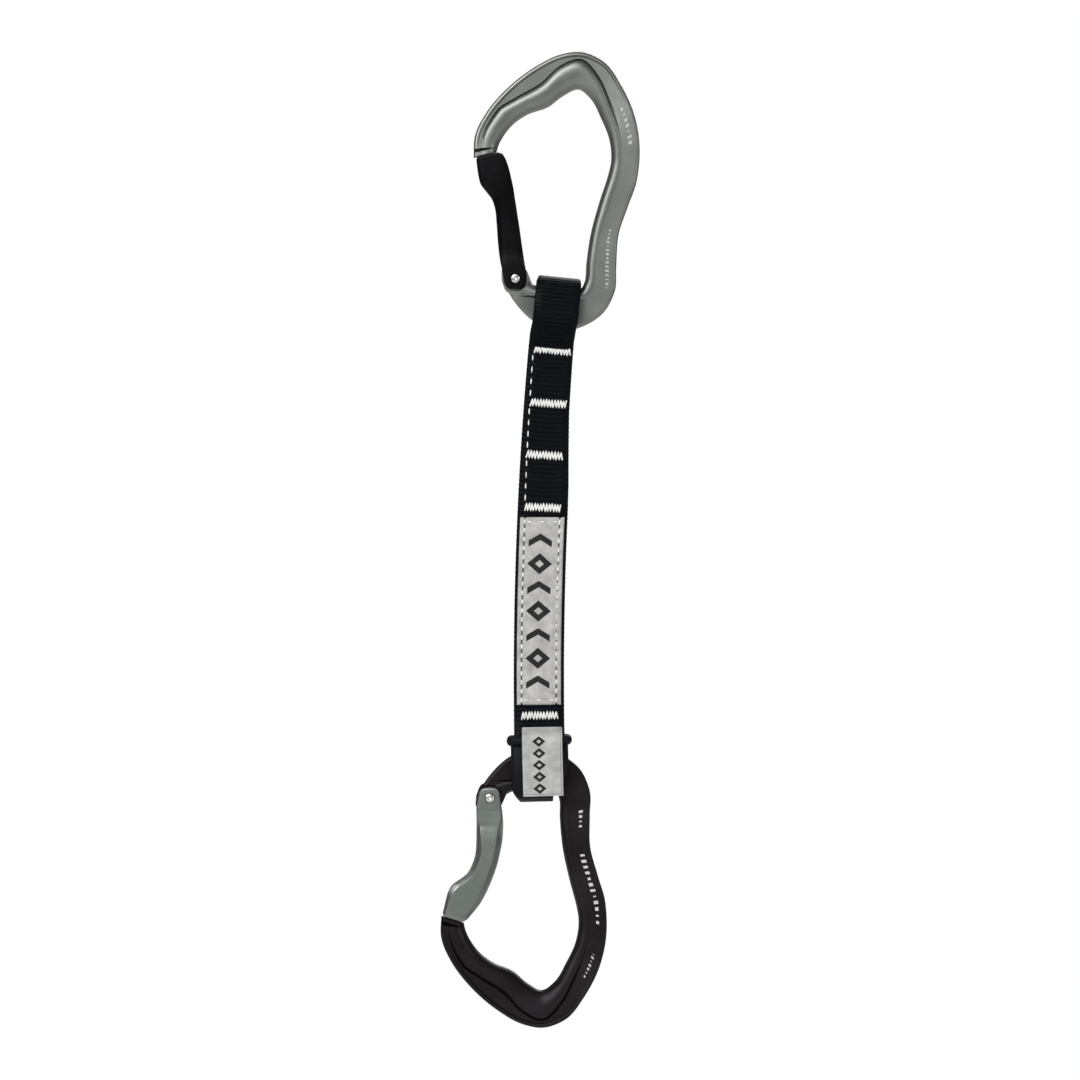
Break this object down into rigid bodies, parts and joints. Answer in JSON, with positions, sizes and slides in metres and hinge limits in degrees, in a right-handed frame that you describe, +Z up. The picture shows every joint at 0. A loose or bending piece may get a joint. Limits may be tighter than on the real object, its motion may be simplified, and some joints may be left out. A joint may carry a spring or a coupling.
{
  "type": "climbing quickdraw",
  "caption": "Climbing quickdraw: a straight-gate and a bent-gate aluminium carabiner joined by a sewn nylon sling with bar tacks, a label and a rubber keeper.",
  "frame": {"origin": "where the bolt hanger bears, at the top of the upper carabiner's opening, in the middle of its thickness", "axes": "+Z up along the hanging quickdraw; +X towards both carabiners' spines, away from the gates; +Y away from the side with the label"},
  "size_m": [0.072, 0.0214, 0.3511],
  "materials": {
    "upper_body": "hot forged, tumbled and anodised titanium grey, satin",
    "lower_body": "hot forged, tumbled and anodised black, satin",
    "upper_gate": "anodised black, satin",
    "lower_gate": "anodised silver, satin",
    "steel": "bright steel",
    "webbing": "ribbed nylon webbing, near-black navy",
    "thread": "bonded polyester thread, off-white",
    "label": "reflective woven label, warm light grey",
    "tag": "fine woven satin tag, grey",
    "rubber": "moulded rubber, dark blue-black, satin"
  },
  "bodies": {
    "upper_carabiner": {"upper_frame": "upper_body", "upper_gate_rivet": "steel"},
    "upper_gate_arm": {"upper_gate": "upper_gate", "upper_gate_spring": "steel"},
    "upper_plunger": {"upper_gate_plunger": "steel"},
    "sling": {"sling_webbing": "webbing", "bar_tack_1": "thread", "bar_tack_2": "thread", "bar_tack_3": "thread", "bar_tack_4": "thread", "bar_tack_5": "thread", "running_stitch": "thread", "sling_label": "label", "label_stitch": "thread", "end_tag": "tag", "rubber_keeper": "rubber"},
    "lower_carabiner": {"lower_frame": "lower_body", "lower_gate_rivet": "steel"},
    "lower_gate_arm": {"lower_gate": "lower_gate", "lower_gate_spring": "steel"},
    "lower_plunger": {"lower_gate_plunger": "steel"}
  },
  "joints": [
    {"name": "upper_gate_hinge", "type": "hinge", "parent": "upper_carabiner", "child": "upper_gate_arm", "pos_m": [-0.02261, 0, -0.06809], "axis": [0, 1, 0], "range_deg": [0, 28], "stiffness_Nm_per_rad": 0.3, "springref_deg": -45.84},
    {"name": "upper_plunger_slide", "type": "slide", "parent": "upper_gate_arm", "child": "upper_plunger", "axis": [-0.0698, 0, 0.9976], "range_m": [0, 0.0014], "deforming": ["upper_gate_spring"]},
    {"name": "sling_swing", "type": "hinge", "parent": "upper_carabiner", "child": "sling", "pos_m": [-0.00748, 0, -0.0788], "axis": [0.995, 0, -0.0997], "range_deg": [-90, 90]},
    {"name": "lower_carabiner_swing", "type": "hinge", "parent": "sling", "child": "lower_carabiner", "pos_m": [-0.01374, 0, -0.2449], "axis": [0.9997, 0, 0.0247], "range_deg": [-12, 12]},
    {"name": "lower_gate_hinge", "type": "hinge", "parent": "lower_carabiner", "child": "lower_gate_arm", "pos_m": [-0.0318, 0, -0.2548], "axis": [0, -1, 0], "range_deg": [0, 28], "stiffness_Nm_per_rad": 0.3, "springref_deg": -45.84},
    {"name": "lower_plunger_slide", "type": "slide", "parent": "lower_gate_arm", "child": "lower_plunger", "axis": [-0.1271, 0, -0.9919], "range_m": [0, 0.0014], "deforming": ["lower_gate_spring"]}
  ],
  "couplings": [
    {"joint": "upper_plunger_slide", "follows": "upper_gate_hinge", "m_per_rad": 0.0028648},
    {"joint": "lower_plunger_slide", "follows": "lower_gate_hinge", "m_per_rad": 0.0028648}
  ]
}
